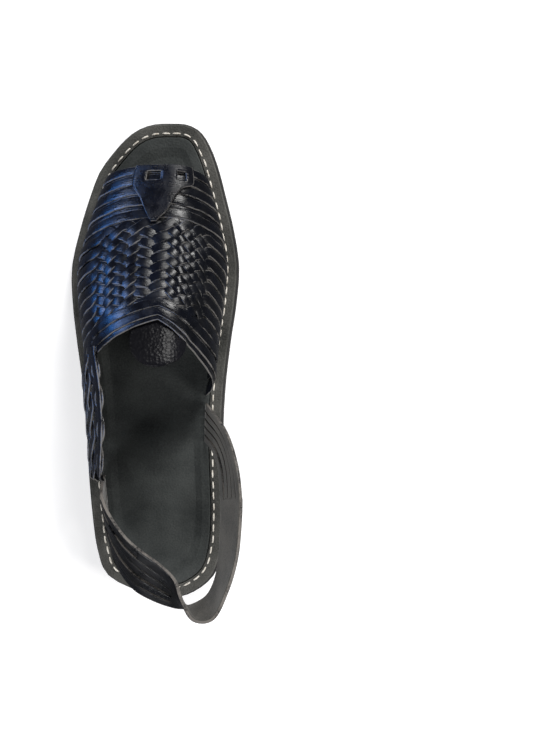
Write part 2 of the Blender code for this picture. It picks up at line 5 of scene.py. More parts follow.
import bpy
import numpy as np
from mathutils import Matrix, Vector


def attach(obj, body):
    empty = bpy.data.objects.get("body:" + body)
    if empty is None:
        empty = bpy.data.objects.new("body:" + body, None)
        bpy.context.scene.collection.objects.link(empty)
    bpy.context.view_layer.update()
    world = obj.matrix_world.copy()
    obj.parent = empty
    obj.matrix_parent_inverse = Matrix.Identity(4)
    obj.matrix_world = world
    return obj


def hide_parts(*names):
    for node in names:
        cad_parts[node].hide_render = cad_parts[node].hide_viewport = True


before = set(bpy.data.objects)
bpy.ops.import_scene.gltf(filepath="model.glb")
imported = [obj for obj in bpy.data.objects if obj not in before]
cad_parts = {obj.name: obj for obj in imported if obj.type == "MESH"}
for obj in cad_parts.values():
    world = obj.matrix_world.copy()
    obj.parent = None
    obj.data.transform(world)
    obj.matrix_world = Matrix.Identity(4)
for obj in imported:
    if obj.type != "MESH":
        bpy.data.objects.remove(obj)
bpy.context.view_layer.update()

# Sizes shared with the model of the solids, in metres; a share is of the sole's length or of a turn
SOLE_LENGTH = 0.289
BALL_WIDTH = 0.1025
HEEL_REST = 0.036
INSTEP_HEIGHT = 0.062
HEEL_RUBBER = 0.0165
FOREFOOT_RUBBER = 0.0095
TOE_SPRING = 0.0085
MIDSOLE_THICKNESS = 0.0050
INSOLE_THICKNESS = 0.0024
RECESS_DEPTH = 0.0024
SEAT_GAP = 0.0003
HEEL_STEP_SHARES = (0.22, 0.58)
TOE_SPRING_SHARE = 0.72
FOOT_INSET = 0.0112
WALL_BULGE = 0.0045
SECTION_POWER = 2.5
BULGE_RISE_SHARE = 1.15
POINTED_POWER = 1.6
NORMAL_STEP = 0.0015
NORMAL_TURN_SHARE = 0.012
COLUMNS = 24
LATTICE_FROM = 6
LATTICE_TO = 18
SIDE_TURN_SHARE = 0.24
FRONT_ROWS = 10
LAST_LATTICE_ROW = 26
THROAT_ROW = 30
BAND_END = 42
SOLE_STATIONS = 80

OUTLINE = (
    # along, outer edge, inner edge
    (0.000, -0.030, 0.085),
    (0.012, -0.125, 0.205),
    (0.045, -0.302, 0.317),
    (0.100, -0.366, 0.372),
    (0.180, -0.398, 0.388),
    (0.270, -0.420, 0.380),
    (0.360, -0.435, 0.373),
    (0.450, -0.462, 0.386),
    (0.540, -0.500, 0.415),
    (0.620, -0.526, 0.449),
    (0.700, -0.531, 0.466),
    (0.780, -0.481, 0.434),
    (0.850, -0.418, 0.387),
    (0.900, -0.361, 0.351),
    (0.945, -0.264, 0.307),
    (0.985, -0.137, 0.236),
    (1.000, 0.022, 0.120),
)

SECTIONS = (
    # along, crown height, crown place, outer bulge, inner bulge
    (0.200, 0.94, 0.020, 0.30, 1.00),
    (0.400, 1.06, 0.040, 0.40, 1.30),
    (0.500, 1.06, 0.045, 0.50, 1.20),
    (0.580, 1.00, 0.050, 0.60, 1.00),
    (0.640, 0.90, 0.055, 0.70, 0.90),
    (0.720, 0.73, 0.060, 0.70, 0.90),
    (0.810, 0.56, 0.070, 0.60, 0.70),
    (0.900, 0.43, 0.080, 0.40, 0.50),
)

VAMP_ROWS = (
    # row, outer foot, crown, inner foot, point
    (0, 0.874, 0.894, 0.869, 0.00),
    (6, 0.778, 0.832, 0.786, 0.00),
    (10, 0.709, 0.777, 0.712, 0.05),
    (18, 0.590, 0.693, 0.600, 0.20),
    (26, 0.496, 0.617, 0.496, 0.38),
    (30, 0.453, 0.582, 0.430, 0.45),
)

BAND = (
    # row, foot drop, edge drop, edge turn
    (30, 0.000, 0.000, 0.240),
    (34, 0.055, 0.080, 0.256),
    (38, 0.118, 0.160, 0.250),
    (42, 0.180, 0.240, 0.212),
)

STRAP_PATH = (
    # low x, low y, low z, high x, high y, high z
    (-0.300, 0.165, 0.00, -0.326, 0.262, 0.00),
    (-0.288, 0.140, 0.14, -0.285, 0.235, 0.72),
    (-0.255, 0.098, 0.22, -0.235, 0.195, 0.80),
    (-0.200, 0.058, 0.27, -0.150, 0.152, 0.78),
    (-0.120, 0.026, 0.31, -0.060, 0.122, 0.74),
    (-0.010, 0.006, 0.34, 0.045, 0.094, 0.72),
    (0.090, -0.004, 0.37, 0.128, 0.064, 0.74),
    (0.170, -0.004, 0.41, 0.172, 0.026, 0.84),
    (0.240, 0.006, 0.45, 0.240, -0.010, 0.92),
    (0.310, 0.026, 0.48, 0.350, -0.006, 0.96),
    (0.355, 0.062, 0.50, 0.430, 0.050, 0.98),
    (0.375, 0.110, 0.52, 0.480, 0.110, 0.99),
    (0.385, 0.165, 0.53, 0.500, 0.170, 1.00),
    (0.385, 0.220, 0.50, 0.505, 0.235, 0.98),
    (0.370, 0.275, 0.38, 0.480, 0.300, 0.86),
    (0.330, 0.310, 0.18, 0.410, 0.360, 0.52),
    (0.276, 0.328, 0.00, 0.280, 0.412, 0.00),
)
STRAP_THICKNESS = 0.0022
STRAP_HEIGHT = 0.052
THONGS = 5
OUTER_THONG_ROWS = 6
INNER_THONG_ROWS = 3

TOE_PIECE = (
    # row, outer edge, inner edge
    (0.0, 0.360, 0.695),
    (1.0, 0.355, 0.700),
    (3.4, 0.360, 0.685),
    (4.6, 0.375, 0.600),
    (6.4, 0.410, 0.545),
    (8.4, 0.440, 0.508),
    (10.2, 0.466, 0.482),
)

# Toe piece, tab and thongs, as in the solids
TOE_PIECE_THICKNESS = 0.0016
TAB_WIDTH = 0.031
TAB_LENGTH = 0.036
TAB_THICKNESS = 0.0026
TAB_ROOT = 0.008
TAB_LIFT = 0.006
TAB_CLEAR = 0.0016
THONG_SHARE = 0.80

# Grids of the toe piece and the tab; a window runs between rows of the TOE_PIECE table, counted
# from 0, and between columns of the grid
TOE_PIECE_LIFT = 0.0038
TOE_GRID_ROWS = 48
TOE_GRID_COLUMNS = 30
TOE_WINDOW_ROWS = (1.15, 1.85)
TOE_WINDOW_COLUMNS = ((6, 11), (18, 24))
TAB_GRID = 44

# Heel strap: its rows are those of STRAP_PATH, counted from 0, and a grid is rows and columns
STRAP_SEAT = 3 * SEAT_GAP
STRAP_STEP = 0.2
STRAP_BACK_GRID = (70, 20)
STRAP_TOP_ROWS = (2.2, 0.3)
STRAP_TOP_SHARE = 0.60
STRAP_TOP_THICKNESS_SHARE = 0.97
STRAP_TOP_GRID = (24, 10)
THONG_OVERLAP_ROWS = 0.35
THONG_THICKNESS_SHARE = 0.93
THONG_SWAY = 0.0006
OUTER_THONG_GRID = (60, 8)
INNER_THONG_GRID = (44, 8)

# Edges of the sheets, and the size that their texture is laid out to
RIM_SHARE = 0.72
SHEET_TEXTURE = 0.05

# Strips of the weave: their size, and how high they lie over the last
STRIP_WIDTH = 0.0062
NARROW_STRIP = 0.0032
STRIP_THICKNESS = 0.0011
STRIP_MIDDLE = 0.0014
STRIP_WAVE = 0.0007
STRIP_COVER = 0.97
STRIP_SAMPLES = 5
EDGE_WAVE = 0.3
SINK = 0.0020

# Handwork: strips wander off their rows by a share of a row, and vary in width by a share of it
ROW_JITTER = 0.06
JITTER_TURN = 1.3
JITTER_PHASE = 50
WIDTH_SPREAD = 0.04
WIDTH_RIPPLE = 0.03
RIPPLE_TURN = 0.7

# Two strips share a row: how far each keeps off it at the foot, and its height in strip waves.
# A pair closes up towards the crown by a share; a lattice strip is keyed by the way that it runs.
FRONT_PAIR = ((0.50, -0.7), (-0.45, 0.8))
FRONT_CLOSING = 0.35
THROAT_PAIR = ((0.55, -0.6), (-0.35, 0.9))
THROAT_CLOSING = 0.2
LATTICE_PAIR = {1: (0.50, -1.0), -1: (-0.45, 1.0)}
LATTICE_PAIR_ENDS = {1: (-0.45, -1.0), -1: (0.50, 1.0)}

# Plaited band on the outer side, measured in rows and columns of the weave
BAND_STRIPS = 4
BAND_STRIP_WIDTH = 0.0064
BAND_SAMPLES = 4
BAND_OVERLAP_ROWS = 4
BAND_SWELL = 0.0060
BAND_SWELL_ROWS = 6
BAND_SWELL_POWER = 0.8
BAND_WIDTH_SPREAD = 0.03
PLAIT_ROWS = 3
PLAIT_SWAY = 0.52
PLAIT_HEIGHT = 0.3
PLAIT_MARGIN = 0.1
BAND_STRANDS = (
    # column, height in strip waves, width as a share of a strip's
    (LATTICE_FROM - 0.25, 2.0, 0.85),
    (0.35, 1.8, 0.75),
)

# Stitches
STITCH_INSET = 0.0062
STITCH_PITCH = 0.0066
STITCH_LENGTH = 0.0048
STITCH_LENGTH_SHARES = (0.90, 1.08)
STITCH_RADIUS = 0.00042
STITCH_END_SHARE = 0.75
STITCH_SWELL_SHARE = 0.35
STITCH_ARCH = 2.0
STITCH_SINK = 1.1
STITCH_SWAY = 0.0002
STITCH_FLATNESS = 1.15
STITCH_SIDES = 8
STITCH_RINGS = 9

# Leather: how raw edges fray, how the polish varies and how shiny it is
FRAY_DEPTH = 0.9
FRAY_LEVEL = -1.30
PATCH_DEPTH = 1.6
POLISH_SHARES = (0.75, 1.8)
RAW_ROUGHNESS = 0.75
STRIP_SHINE = 0.29
CREASE_STRETCH = (260, 1400, 1)
FINE_WEAR = 0.55

# Studio
FLOOR_HALF = 30.0
FLOOR_COLOUR = (0.86, 0.86, 0.87)
FLOOR_ROUGHNESS = 0.9
FLOOR_GLOW = 0.30
WORLD_COLOUR = (0.93, 0.95, 1.0)
WORLD_STRENGTH = 0.13
LIGHTS = (
    # name, place, target, size, power, colour
    ("key", (0.75, 1.75, 1.25), (0.05, 0.1, 0.0), (0.8, 0.8), 50, (1.0, 0.99, 0.97)),
    ("left_window", (-0.85, 0.45, 0.52), (0.0, 0.16, 0.03), (0.30, 0.85), 13, (0.05, 0.30, 1.0)),
    ("right_fill", (1.7, -0.5, 1.1), (0.05, 0.1, 0.0), (0.7, 0.7), 28, (1.0, 0.97, 0.94)),
    ("back_fill", (-0.6, -1.6, 1.2), (0.05, 0.1, 0.0), (0.8, 0.8), 28, (1.0, 1.0, 1.0)),
    ("left_fill", (-1.7, 0.9, 1.3), (0.05, 0.1, 0.0), (0.7, 0.7), 14, (0.99, 0.99, 1.0)),
)
CAMERA_PLACE = (0.0708, 0.1049, 0.715)
CAMERA_LENS = 55.87

random.seed(11)


def read_column(table, column, at):
    """Value of a table's column at a key, through a smooth curve."""
    keys = [row[0] for row in table]
    if at <= keys[0]:
        return table[0][column]
    if at >= keys[-1]:
        return table[-1][column]
    k = max(i for i in range(len(keys) - 1) if keys[i] <= at)
    span = keys[k + 1] - keys[k]
    t = (at - keys[k]) / span

    def slope(i):
        low = max(i - 1, 0)
        high = min(i + 1, len(keys) - 1)
        return (table[high][column] - table[low][column]) / (keys[high] - keys[low])

    start, end = slope(k) * span, slope(k + 1) * span
    rise = table[k + 1][column] - table[k][column]
    return (table[k][column] + start * t + (3 * rise - 2 * start - end) * t ** 2
            + (start + end - 2 * rise) * t ** 3)


def smooth(t):
    """Eased step from 0 to 1."""
    t = min(max(t, 0.0), 1.0)
    return t * t * (3 - 2 * t)


def place(along):
    """World y of a place along the sole."""
    return along * SOLE_LENGTH - HEEL_REST


def share(y):
    """Place along the sole of a world y."""
    return (y + HEEL_REST) / SOLE_LENGTH


def turn(along):
    """Place along the sole as a share of a half turn, which keeps its round ends smooth."""
    return math.acos(1 - 2 * min(max(along, 0.0), 1.0)) / math.pi


TURNED_OUTLINE = tuple((turn(row[0]), row[1], row[2]) for row in OUTLINE)


def deck(y):
    """Height of the rubber's upper face."""
    at = share(y)
    start, end = HEEL_STEP_SHARES
    heel = (HEEL_RUBBER - FOREFOOT_RUBBER) * (1 - smooth((at - start) / (end - start)))
    spring = max(0.0, (at - TOE_SPRING_SHARE) / (1 - TOE_SPRING_SHARE)) ** 2
    return FOREFOOT_RUBBER + heel + TOE_SPRING * spring


def border(y):
    """Height of the stitched border."""
    return deck(y) + SEAT_GAP + MIDSOLE_THICKNESS


def footbed(y):
    """Height of the insole's edge."""
    return border(y) - RECESS_DEPTH + SEAT_GAP + INSOLE_THICKNESS


def outline_loop(inset):
    """Closed loop round the sole: inner side to the toe, outer side back."""
    stations = [(1 - math.cos(math.pi * i / SOLE_STATIONS)) / 2 for i in range(SOLE_STATIONS + 1)]

    def edge(side):
        return [(read_column(TURNED_OUTLINE, side, turn(at)) * BALL_WIDTH, place(at))
                for at in stations]

    loop = edge(2) + edge(1)[::-1]
    count = len(loop)
    moved = []
    for i, (x, y) in enumerate(loop):
        before, after = loop[i - 1], loop[(i + 1) % count]
        dx, dy = after[0] - before[0], after[1] - before[1]
        length = math.hypot(dx, dy)
        moved.append((x - dy / length * inset, y + dx / length * inset))
    return moved


FOOT_LOOP = outline_loop(FOOT_INSET)
INNER_FOOT = FOOT_LOOP[:SOLE_STATIONS + 1]
OUTER_FOOT = FOOT_LOOP[SOLE_STATIONS + 1:][::-1]
FOOT_LINES = [([p[1] for p in line], [p[0] for p in line]) for line in (OUTER_FOOT, INNER_FOOT)]


def foot_x(y, outer):
    """World x at which the upper meets the footbed."""
    ys, xs = FOOT_LINES[0 if outer else 1]
    return float(np.interp(y, ys, xs))


def last_skin(y, w):
    """Point of the last; w turns from the outer foot over the crown to the inner foot."""
    at = share(y)
    height = read_column(SECTIONS, 1, at) * INSTEP_HEIGHT
    crown = read_column(SECTIONS, 2, at) * BALL_WIDTH
    outer = w < 0.5
    foot = foot_x(y, outer)
    bulge = read_column(SECTIONS, 3 if outer else 4, at) * WALL_BULGE
    angle = math.pi * min(max(w, 0.0), 1.0)
    across = abs(math.cos(angle)) ** (2 / SECTION_POWER)
    up = max(math.sin(angle), 0.0) ** (2 / SECTION_POWER)
    x = crown + (foot - crown) * across
    side = -1 if outer else 1
    x += side * bulge * math.sin(math.pi * min(up * BULGE_RISE_SHARE, 1.0)) * across
    return Vector((x, y, footbed(y) + SEAT_GAP + height * up))


def last_frame(y, w):
    """Point of the last and the direction out of it."""
    step = NORMAL_TURN_SHARE
    middle = min(max(w, 2 * step), 1 - 2 * step)
    along = last_skin(y + NORMAL_STEP, middle) - last_skin(y - NORMAL_STEP, middle)
    across = last_skin(y, middle + step) - last_skin(y, middle - step)
    normal = across.cross(along).normalized()
    if normal.dot(last_skin(y, middle) - Vector((0, y, footbed(y)))) < 0:
        normal = -normal
    if middle != w:
        normal.z = 0
        normal.normalize()
    return last_skin(y, w), normal


def row_place(i, w):
    """World y of a row of strips at a turn round the last."""
    row = min(max(i, 0), THROAT_ROW)
    outer, crown, inner, point = (read_column(VAMP_ROWS, c, row) for c in (1, 2, 3, 4))
    foot = outer if w < 0.5 else inner
    rise = 1 - abs(1 - 2 * w)
    blend = (1 - point) * math.sin(math.pi / 2 * rise) + point * rise ** POINTED_POWER
    return place(foot + (crown - foot) * blend)


def column_turn(j):
    """Turn round the last of a column: wide columns at the sides, narrow on top."""
    if j < LATTICE_FROM:
        return SIDE_TURN_SHARE * j / LATTICE_FROM
    if j > LATTICE_TO:
        return 1 - SIDE_TURN_SHARE * (COLUMNS - j) / (COLUMNS - LATTICE_TO)
    across = (j - LATTICE_FROM) / (LATTICE_TO - LATTICE_FROM)
    return SIDE_TURN_SHARE + (1 - 2 * SIDE_TURN_SHARE) * across


def weave_frame(i, j):
    """Point and outward direction at a row and column of the weave."""
    if i <= THROAT_ROW:
        w = column_turn(j)
        return last_frame(row_place(i, w), w)
    across = j / LATTICE_FROM
    w = across * read_column(BAND, 3, i)
    drop = (1 - across) * read_column(BAND, 1, i) + across * read_column(BAND, 2, i)
    return last_frame(row_place(THROAT_ROW, w) - drop * SOLE_LENGTH, w)


def catmull(points, at):
    """Value along a list of points at a fractional place."""
    last = len(points) - 1
    k = min(int(at), last - 1)
    t = at - k
    p0, p1 = points[max(k - 1, 0)], points[k]
    p2, p3 = points[k + 1], points[min(k + 2, last)]
    return tuple(0.5 * (2 * b + (c - a) * t + (2 * a - 5 * b + 4 * c - d) * t * t
                        + (3 * b - a - 3 * c + d) * t ** 3)
                 for a, b, c, d in zip(p0, p1, p2, p3))


# Materials

def new_material(name, base, roughness):
    material = bpy.data.materials.new(name)
    material.use_nodes = True
    nodes = material.node_tree.nodes
    shader = nodes["Principled BSDF"]
    shader.inputs["Base Color"].default_value = (*base, 1)
    shader.inputs["Roughness"].default_value = roughness
    return material, nodes, material.node_tree.links, shader


def noise(nodes, links, scale, detail, vector=None, stretch=None):
    """Noise on object coordinates, or on a given vector."""
    texture = nodes.new("ShaderNodeTexNoise")
    texture.inputs["Scale"].default_value = scale
    texture.inputs["Detail"].default_value = detail
    if vector is None:
        vector = nodes.new("ShaderNodeTexCoord").outputs["Object"]
    if stretch:
        mapping = nodes.new("ShaderNodeMapping")
        mapping.inputs["Scale"].default_value = stretch
        links.new(vector, mapping.inputs["Vector"])
        vector = mapping.outputs["Vector"]
    links.new(vector, texture.inputs["Vector"])
    return texture.outputs["Fac"]


def ramp(nodes, links, source, first, last):
    """Colours between two (value, colour) stops."""
    node = nodes.new("ShaderNodeValToRGB")
    for element, (value, colour) in zip(node.color_ramp.elements, (first, last)):
        element.position = value
        element.color = (*colour, 1)
    links.new(source, node.inputs["Fac"])
    return node.outputs["Color"]


def grey(value):
    return (value, value, value)


def scaled(colour, factor):
    return tuple(channel * factor for channel in colour)


def combine(nodes, links, operation, *values):
    """Result of a sum or product of sockets and numbers."""
    node = nodes.new("ShaderNodeMath")
    node.operation = operation
    for socket, value in zip(node.inputs, values):
        if isinstance(value, float):
            socket.default_value = value
        else:
            links.new(value, socket)
    return node.outputs[0]


def mix_colour(nodes, links, factor, first, second):
    """Mix of two colours; a Mix node's sockets for them are inputs 6 and 7 and output 2."""
    node = nodes.new("ShaderNodeMix")
    node.data_type = "RGBA"
    links.new(factor, node.inputs["Factor"])
    for socket, value in ((node.inputs[6], first), (node.inputs[7], second)):
        if isinstance(value, tuple):
            socket.default_value = (*value, 1)
        else:
            links.new(value, socket)
    return node.outputs[2]


def bump(nodes, links, height, strength, distance, below=None):
    node = nodes.new("ShaderNodeBump")
    node.inputs["Strength"].default_value = strength
    node.inputs["Distance"].default_value = distance
    links.new(height, node.inputs["Height"])
    if below is not None:
        links.new(below, node.inputs["Normal"])
    return node.outputs["Normal"]


def strip_leather(name, base, raw, roughness):
    """Glossy strip leather with raw edges, rubbed spots and fine creases."""
    material, nodes, links, shader = new_material(name, base, roughness)
    tone = noise(nodes, links, scale=90, detail=4)
    dyed = ramp(nodes, links, tone, (0.30, scaled(base, 0.55)), (0.70, scaled(base, 1.7)))

    # The edge shows its raw colour where it is frayed or lies in a worn patch.
    edge = nodes.new("ShaderNodeAttribute")
    edge.attribute_name = "edge"
    fray = noise(nodes, links, scale=900, detail=3)
    patch = noise(nodes, links, scale=70, detail=2)
    frayed = combine(nodes, links, "MULTIPLY_ADD", fray, FRAY_DEPTH, FRAY_LEVEL)
    bare = combine(nodes, links, "ADD", edge.outputs["Fac"], frayed)
    bare = combine(nodes, links, "MULTIPLY_ADD", patch, PATCH_DEPTH, bare)
    mask = ramp(nodes, links, bare, (0.60, grey(0)), (1.00, grey(1)))
    links.new(mix_colour(nodes, links, mask, dyed, raw), shader.inputs["Base Color"])

    scuff = noise(nodes, links, scale=160, detail=5)
    polish = ramp(nodes, links, scuff, (0.35, grey(roughness * POLISH_SHARES[0])),
                  (0.75, grey(roughness * POLISH_SHARES[1])))
    links.new(mix_colour(nodes, links, mask, polish, grey(RAW_ROUGHNESS)),
              shader.inputs["Roughness"])
    shader.inputs["Specular IOR Level"].default_value = STRIP_SHINE

    uv = nodes.new("ShaderNodeUVMap")
    uv.uv_map = "strip"
    creases = noise(nodes, links, 1, 4, vector=uv.outputs["UV"], stretch=CREASE_STRETCH)
    grain = noise(nodes, links, scale=1500, detail=2)
    creased = bump(nodes, links, creases, strength=0.35, distance=0.0005)
    links.new(bump(nodes, links, grain, strength=0.25, distance=0.0002, below=creased),
              shader.inputs["Normal"])
    return material


def grained_leather(name, base, light, roughness, pebbles, depth, sheen=0.0, shine=0.22):
    """Matt leather with a pebbled grain and cloudy wear."""
    material, nodes, links, shader = new_material(name, base, roughness)
    cloud = noise(nodes, links, scale=45, detail=6)
    fine = noise(nodes, links, scale=1100, detail=3)
    wear = combine(nodes, links, "MULTIPLY_ADD", fine, FINE_WEAR, cloud)
    links.new(ramp(nodes, links, wear, (0.55, base), (1.0, light)), shader.inputs["Base Color"])
    pebble = nodes.new("ShaderNodeTexVoronoi")
    pebble.inputs["Scale"].default_value = pebbles
    links.new(nodes.new("ShaderNodeTexCoord").outputs["Object"], pebble.inputs["Vector"])
    pebbled = bump(nodes, links, pebble.outputs["Distance"], depth, distance=0.0006)
    links.new(bump(nodes, links, fine, strength=0.3, distance=0.0003, below=pebbled),
              shader.inputs["Normal"])
    shader.inputs["Sheen Weight"].default_value = sheen
    shader.inputs["Specular IOR Level"].default_value = shine
    return material


def rubber_material():
    """Matt black rubber with a little dust."""
    material, nodes, links, shader = new_material("sole_rubber", (0.016, 0.016, 0.017), 0.75)
    dust = noise(nodes, links, scale=60, detail=6)
    links.new(ramp(nodes, links, dust, (0.4, (0.012, 0.012, 0.013)), (0.8, (0.035, 0.034, 0.032))),
              shader.inputs["Base Color"])
    grain = noise(nodes, links, scale=1300, detail=3)
    links.new(bump(nodes, links, grain, strength=0.35, distance=0.0003), shader.inputs["Normal"])
    return material


def thread_material():
    """Twisted off-white thread, soiled in places."""
    material, nodes, links, shader = new_material("thread", (0.66, 0.62, 0.55), 0.7)
    soil = noise(nodes, links, scale=500, detail=3)
    links.new(ramp(nodes, links, soil, (0.3, (0.42, 0.38, 0.32)), (0.6, (0.74, 0.71, 0.65))),
              shader.inputs["Base Color"])
    twist = nodes.new("ShaderNodeTexWave")
    twist.inputs["Scale"].default_value = 900
    links.new(nodes.new("ShaderNodeTexCoord").outputs["Object"], twist.inputs["Vector"])
    links.new(bump(nodes, links, twist.outputs["Fac"], strength=0.4, distance=0.0002),
              shader.inputs["Normal"])
    return material


STRIP_FINISH = strip_leather("strip_leather", (0.0012, 0.0016, 0.0032), raw=(0.115, 0.110, 0.105),
                             roughness=0.25)
STRAP_FINISH = strip_leather("strap_leather", (0.0025, 0.003, 0.0045), raw=(0.13, 0.12, 0.11),
                             roughness=0.30)
SUEDE_FINISH = grained_leather("strap_flesh", (0.022, 0.0225, 0.022), (0.085, 0.080, 0.072),
                               roughness=0.9, pebbles=1500, depth=0.15, sheen=0.2)
TAB_FINISH = grained_leather("tab_leather", (0.002, 0.002, 0.003), (0.005, 0.005, 0.007),
                             roughness=0.34, pebbles=560, depth=0.40, shine=0.12)
FOOTBED_FINISH = grained_leather("footbed_leather", (0.020, 0.023, 0.023), (0.050, 0.055, 0.054),
                                 roughness=0.72, pebbles=800, depth=0.3)
BORDER_FINISH = grained_leather("border_leather", (0.022, 0.023, 0.021), (0.085, 0.084, 0.078),
                                roughness=0.70, pebbles=900, depth=0.45)
RUBBER_FINISH = rubber_material()
THREAD_FINISH = thread_material()


# Mesh helpers

def add_object(name, verts, faces, materials, uvs=None, edge=None, slots=None):
    """Smooth-shaded mesh object with optional per-corner and per-vertex data."""
    mesh = bpy.data.meshes.new(name)
    mesh.from_pydata([tuple(v) for v in verts], [], faces)
    for material in materials:
        mesh.materials.append(material)
    if uvs:
        layer = mesh.uv_layers.new(name="strip")
        for loop in mesh.loops:
            layer.data[loop.index].uv = uvs[loop.vertex_index]
    if edge:
        layer = mesh.attributes.new("edge", "FLOAT", "POINT")
        layer.data.foreach_set("value", edge)
    if slots:
        mesh.polygons.foreach_set("material_index", slots)
    mesh.shade_smooth()
    mesh.update()
    obj = bpy.data.objects.new(name, mesh)
    bpy.context.scene.collection.objects.link(obj)
    return obj


# Cross-section of a strip: across as a share of the half width, height as a
# share of the half thickness, and how much raw edge shows.
STRIP_SECTION = (
    # across, height, raw edge
    (-0.96, -1.0, 0.50),
    (-1.00, -0.2, 1.00),
    (-0.96, 0.50, 1.00),
    (-0.87, 0.92, 0.80),
    (-0.78, 1.05, 0.05),
    (-0.40, 1.18, 0.00),
    (0.00, 1.22, 0.00),
    (0.40, 1.18, 0.00),
    (0.78, 1.05, 0.05),
    (0.87, 0.92, 0.80),
    (0.96, 0.50, 1.00),
    (1.00, -0.2, 1.00),
    (0.96, -1.0, 0.50),
    (0.45, -1.0, 0.00),
    (-0.45, -1.0, 0.00),
)


class RibbonMesh:
    """Many strips gathered in one mesh."""

    def __init__(self):
        self.verts, self.faces, self.uvs, self.edge = [], [], [], []

    def add(self, centres, normals, widths, run):
        """One strip; run is where its texture starts."""
        count = len(centres)
        first = len(self.verts)
        size = len(STRIP_SECTION)
        for k in range(count):
            before, after = centres[max(k - 1, 0)], centres[min(k + 1, count - 1)]
            tangent = (after - before).normalized()
            normal = (normals[k] - tangent * normals[k].dot(tangent)).normalized()
            side = tangent.cross(normal)
            if k:
                run += (centres[k] - centres[k - 1]).length
            half = widths[k] / 2
            for across, height, raw in STRIP_SECTION:
                self.verts.append(centres[k] + side * half * across
                                  + normal * STRIP_THICKNESS / 2 * height)
                self.uvs.append((run, across * half))
                self.edge.append(raw)
        for k in range(count - 1):
            for s in range(size):
                a = first + k * size + s
                b = first + k * size + (s + 1) % size
                self.faces.append((a, a + size, b + size, b))
        self.faces.append(tuple(first + s for s in range(size)))
        end = first + (count - 1) * size
        self.faces.append(tuple(end + s for s in reversed(range(size))))

    def build(self, name, material):
        return add_object(name, self.verts, self.faces, [material], self.uvs, self.edge)


def lattice_walk(row, step):
    """Crossings that a strip passes, turning back at the lattice's first and last row."""
    crossings = [(row, LATTICE_FROM, step)]
    for column in range(LATTICE_FROM + 1, LATTICE_TO + 1):
        row += step
        crossings.append((row, column, step))
        if row in (FRONT_ROWS, LAST_LATTICE_ROW):
            step = -step
    return crossings


def wave_sign(row, step):
    """Over or under at a crossing."""
    if row in (FRONT_ROWS, LAST_LATTICE_ROW):
        return EDGE_WAVE
    even = row % 2 == 0
    return 1.0 if even == (step > 0) else -1.0


def weave_path(nodes, samples, jitter):
    """Centres, normals and pitches of a strip through (row, column, height) nodes."""
    centres, normals, pitches = [], [], []
    spans = len(nodes) - 1
    for k in range(spans * samples + 1):
        at = k / samples
        i, j, _ = catmull(nodes, at)
        n = min(int(at), spans - 1)
        height = nodes[n][2] + (nodes[n + 1][2] - nodes[n][2]) * smooth(at - n)
        drift = jitter * math.sin(at * JITTER_TURN + jitter * JITTER_PHASE)
        point, normal = weave_frame(i + drift, j)
        centres.append(point + normal * (STRIP_MIDDLE + STRIP_WAVE * height))
        normals.append(normal)
        pitches.append(weave_frame(i + 1, j)[0] - weave_frame(i - 1, j)[0])
    return centres, normals, pitches


def sunk(foot):
    """Point in the footbed below a strip's end."""
    return Vector((foot.x, foot.y, footbed(foot.y) - SINK))


def side_nodes(row, height, drift, outer):
    """Nodes of a strip down one side, from the foot to the lattice or back."""
    nodes = []
    for k in range(LATTICE_FROM):
        spread = drift * (1 - k / LATTICE_FROM)
        column = k if outer else COLUMNS - k
        nodes.append((row + spread, column, height))
    return nodes if outer else nodes[::-1]


def add_strip(ribbons, nodes):
    """Strip across the vamp, as wide as its row leaves room for, with both ends in the footbed."""
    centres, normals, pitches = weave_path(nodes, STRIP_SAMPLES,
                                           random.uniform(-ROW_JITTER, ROW_JITTER))
    swell = STRIP_COVER * random.uniform(1 - WIDTH_SPREAD, 1 + WIDTH_SPREAD)
    widths = []
    for k, pitch in enumerate(pitches):
        tangent = (centres[min(k + 1, len(centres) - 1)] - centres[max(k - 1, 0)]).normalized()
        across = (pitch - tangent * pitch.dot(tangent)).length
        widths.append(min(max(across * swell, NARROW_STRIP), STRIP_WIDTH)
                      * (1 + WIDTH_RIPPLE * math.sin(k * RIPPLE_TURN)))
    ribbons.add([sunk(centres[0]), *centres, sunk(centres[-1])],
                [normals[0], *normals, normals[-1]],
                [widths[0], *widths, widths[-1]], random.uniform(0, 1))


def add_pairs(ribbons, rows, pair, closing):
    """Rows of two overlapping strips that draw closer together towards the crown."""
    for row in rows:
        for drift, height in pair:
            nodes = []
            for k in range(COLUMNS + 1):
                rise = 1 - abs(1 - k / COLUMNS * 2)
                nodes.append((row + drift * (1 - closing * rise), k, height))
            add_strip(ribbons, nodes)


def make_weave():
    """Every strip of the vamp, over and under its neighbours."""
    ribbons = RibbonMesh()
    add_pairs(ribbons, range(1, FRONT_ROWS, 2), FRONT_PAIR, FRONT_CLOSING)
    for row in range(FRONT_ROWS + 1, LAST_LATTICE_ROW, 2):
        for step, (drift, height) in LATTICE_PAIR.items():
            walk = lattice_walk(row, step)
            middle = [(i, j, wave_sign(i, s)) for i, j, s in walk]
            end_row, _, end_step = walk[-1]
            end_drift, end_height = LATTICE_PAIR_ENDS[end_step]
            add_strip(ribbons, side_nodes(row, height, drift, True) + middle
                      + side_nodes(end_row, end_height, end_drift, False))
    add_pairs(ribbons, range(LAST_LATTICE_ROW + 1, THROAT_ROW, 2), THROAT_PAIR, THROAT_CLOSING)
    return ribbons


